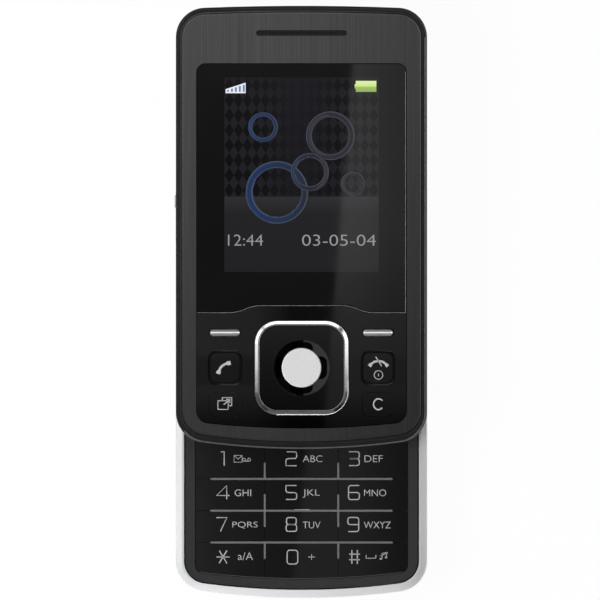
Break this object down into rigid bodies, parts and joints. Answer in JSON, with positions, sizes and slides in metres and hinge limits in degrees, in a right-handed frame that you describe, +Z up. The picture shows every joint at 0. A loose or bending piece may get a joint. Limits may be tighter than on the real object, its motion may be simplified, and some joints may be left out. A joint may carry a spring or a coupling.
{
  "type": "slide phone",
  "caption": "Pocket phone in two halves: a display and control half that slides up on rails off a keypad half with a battery cover; all keys travel.",
  "frame": {"origin": "middle of the lower half's flat back, where the phone rests", "axes": "+X across the width, +Y along the length towards the earpiece, +Z up out of the front; the phone is drawn open, lying on its back"},
  "size_m": [0.0474, 0.111, 0.0141],
  "materials": {
    "silver_band": "satin",
    "black_rim": "gloss",
    "brushed_dark": "satin",
    "bezel_dark": "satin",
    "window_black": "gloss",
    "panel_black": "gloss",
    "key_black": "satin",
    "mat_grey": "matte",
    "chrome": "polished",
    "select_silver": "satin",
    "side_key": "satin",
    "back_black": "matte",
    "tray_black": "satin",
    "steel": "satin",
    "screw_steel": "satin",
    "rail_plastic": "matte",
    "inner_plastic": "matte",
    "board_green": "satin",
    "part_black": "matte",
    "part_metal": "satin",
    "battery_label": "satin",
    "lens_glass": "gloss",
    "display_glass": "gloss",
    "light_guide": "matte",
    "flex_amber": "satin"
  },
  "bodies": {
    "base": {"lower_frame": "silver_band", "rear_housing": "back_black", "keypad_bezel": "bezel_dark", "mid_frame": "inner_plastic", "main_board": "board_green", "shield_cans": "part_metal", "battery": "battery_label", "sim_holder": "part_metal", "camera_module": "part_black", "camera_window": "lens_glass", "loudspeaker": "part_black", "antenna": "inner_plastic", "vibration_motor": "part_metal", "system_connector": "part_metal", "microphone": "part_black", "base_screws": "screw_steel", "keypad_mat": "mat_grey", "key_domes": "steel", "guide_plate": "steel", "guide_rails": "rail_plastic", "assist_spring": "steel", "flex_cable": "flex_amber"},
    "slide": {"slide_plate": "steel", "slide_screws": "screw_steel", "slide_back_cover": "tray_black", "upper_rim": "black_rim", "front_plate": "brushed_dark", "display_window": "window_black", "control_panel": "panel_black", "upper_keymat": "mat_grey", "key_board": "board_green", "lcd_backlight": "light_guide", "lcd_glass": "display_glass", "ear_speaker": "part_black", "ear_grille": "part_black", "slide_chassis": "inner_plastic"},
    "key_1": {"key_1": "key_black"},
    "key_2": {"key_2": "key_black"},
    "key_3": {"key_3": "key_black"},
    "key_4": {"key_4": "key_black"},
    "key_5": {"key_5": "key_black"},
    "key_6": {"key_6": "key_black"},
    "key_7": {"key_7": "key_black"},
    "key_8": {"key_8": "key_black"},
    "key_9": {"key_9": "key_black"},
    "key_star": {"key_star": "key_black"},
    "key_0": {"key_0": "key_black"},
    "key_hash": {"key_hash": "key_black"},
    "softkey_left": {"softkey_left": "chrome"},
    "softkey_right": {"softkey_right": "chrome"},
    "call_key": {"call_key": "panel_black"},
    "end_key": {"end_key": "panel_black"},
    "activity_key": {"activity_key": "panel_black"},
    "clear_key": {"clear_key": "panel_black"},
    "select_key": {"select_key": "select_silver"},
    "nav_gimbal": {"nav_pivot": "part_black"},
    "nav": {"nav_pad": "panel_black", "nav_ring": "chrome"},
    "volume_key": {"volume_key": "side_key"},
    "battery_cover": {"battery_cover": "back_black"}
  },
  "joints": [
    {"name": "slide_travel", "type": "slide", "parent": "base", "child": "slide", "axis": [0, -1, 0], "range_m": [0, 0.028], "deforming": ["assist_spring", "flex_cable"]},
    {"name": "key_1_press", "type": "slide", "parent": "base", "child": "key_1", "axis": [0, 0, -1], "range_m": [0, 0.00025], "stiffness_N_per_m": 400},
    {"name": "key_2_press", "type": "slide", "parent": "base", "child": "key_2", "axis": [0, 0, -1], "range_m": [0, 0.00025], "stiffness_N_per_m": 400},
    {"name": "key_3_press", "type": "slide", "parent": "base", "child": "key_3", "axis": [0, 0, -1], "range_m": [0, 0.00025], "stiffness_N_per_m": 400},
    {"name": "key_4_press", "type": "slide", "parent": "base", "child": "key_4", "axis": [0, 0, -1], "range_m": [0, 0.00025], "stiffness_N_per_m": 400},
    {"name": "key_5_press", "type": "slide", "parent": "base", "child": "key_5", "axis": [0, 0, -1], "range_m": [0, 0.00025], "stiffness_N_per_m": 400},
    {"name": "key_6_press", "type": "slide", "parent": "base", "child": "key_6", "axis": [0, 0, -1], "range_m": [0, 0.00025], "stiffness_N_per_m": 400},
    {"name": "key_7_press", "type": "slide", "parent": "base", "child": "key_7", "axis": [0, 0, -1], "range_m": [0, 0.00025], "stiffness_N_per_m": 400},
    {"name": "key_8_press", "type": "slide", "parent": "base", "child": "key_8", "axis": [0, 0, -1], "range_m": [0, 0.00025], "stiffness_N_per_m": 400},
    {"name": "key_9_press", "type": "slide", "parent": "base", "child": "key_9", "axis": [0, 0, -1], "range_m": [0, 0.00025], "stiffness_N_per_m": 400},
    {"name": "key_star_press", "type": "slide", "parent": "base", "child": "key_star", "axis": [0, 0, -1], "range_m": [0, 0.00025], "stiffness_N_per_m": 400},
    {"name": "key_0_press", "type": "slide", "parent": "base", "child": "key_0", "axis": [0, 0, -1], "range_m": [0, 0.00025], "stiffness_N_per_m": 400},
    {"name": "key_hash_press", "type": "slide", "parent": "base", "child": "key_hash", "axis": [0, 0, -1], "range_m": [0, 0.00025], "stiffness_N_per_m": 400},
    {"name": "softkey_left_press", "type": "slide", "parent": "slide", "child": "softkey_left", "axis": [0, 0, -1], "range_m": [0, 0.00025], "stiffness_N_per_m": 400},
    {"name": "softkey_right_press", "type": "slide", "parent": "slide", "child": "softkey_right", "axis": [0, 0, -1], "range_m": [0, 0.00025], "stiffness_N_per_m": 400},
    {"name": "call_key_press", "type": "slide", "parent": "slide", "child": "call_key", "axis": [0, 0, -1], "range_m": [0, 0.00025], "stiffness_N_per_m": 400},
    {"name": "end_key_press", "type": "slide", "parent": "slide", "child": "end_key", "axis": [0, 0, -1], "range_m": [0, 0.00025], "stiffness_N_per_m": 400},
    {"name": "activity_key_press", "type": "slide", "parent": "slide", "child": "activity_key", "axis": [0, 0, -1], "range_m": [0, 0.00025], "stiffness_N_per_m": 400},
    {"name": "clear_key_press", "type": "slide", "parent": "slide", "child": "clear_key", "axis": [0, 0, -1], "range_m": [0, 0.00025], "stiffness_N_per_m": 400},
    {"name": "select_key_press", "type": "slide", "parent": "slide", "child": "select_key", "axis": [0, 0, -1], "range_m": [0, 0.00025], "stiffness_N_per_m": 400},
    {"name": "nav_tilt_up_down", "type": "hinge", "parent": "slide", "child": "nav_gimbal", "pos_m": [0, 0.0018, 0.01277], "axis": [1, 0, 0], "range_deg": [-1.2, 1.2], "stiffness_Nm_per_rad": 0.3},
    {"name": "nav_tilt_left_right", "type": "hinge", "parent": "nav_gimbal", "child": "nav", "pos_m": [0, 0.0018, 0.01277], "axis": [0, 1, 0], "range_deg": [-1.2, 1.2], "stiffness_Nm_per_rad": 0.3},
    {"name": "volume_rock", "type": "hinge", "parent": "base", "child": "volume_key", "pos_m": [-0.0214, 0.03, 0.0048], "axis": [0, 0, 1], "range_deg": [-2.5, 2.5], "stiffness_Nm_per_rad": 0.3},
    {"name": "cover_slide", "type": "slide", "parent": "base", "child": "battery_cover", "axis": [0, -1, 0], "range_m": [0, 0.005]}
  ]
}
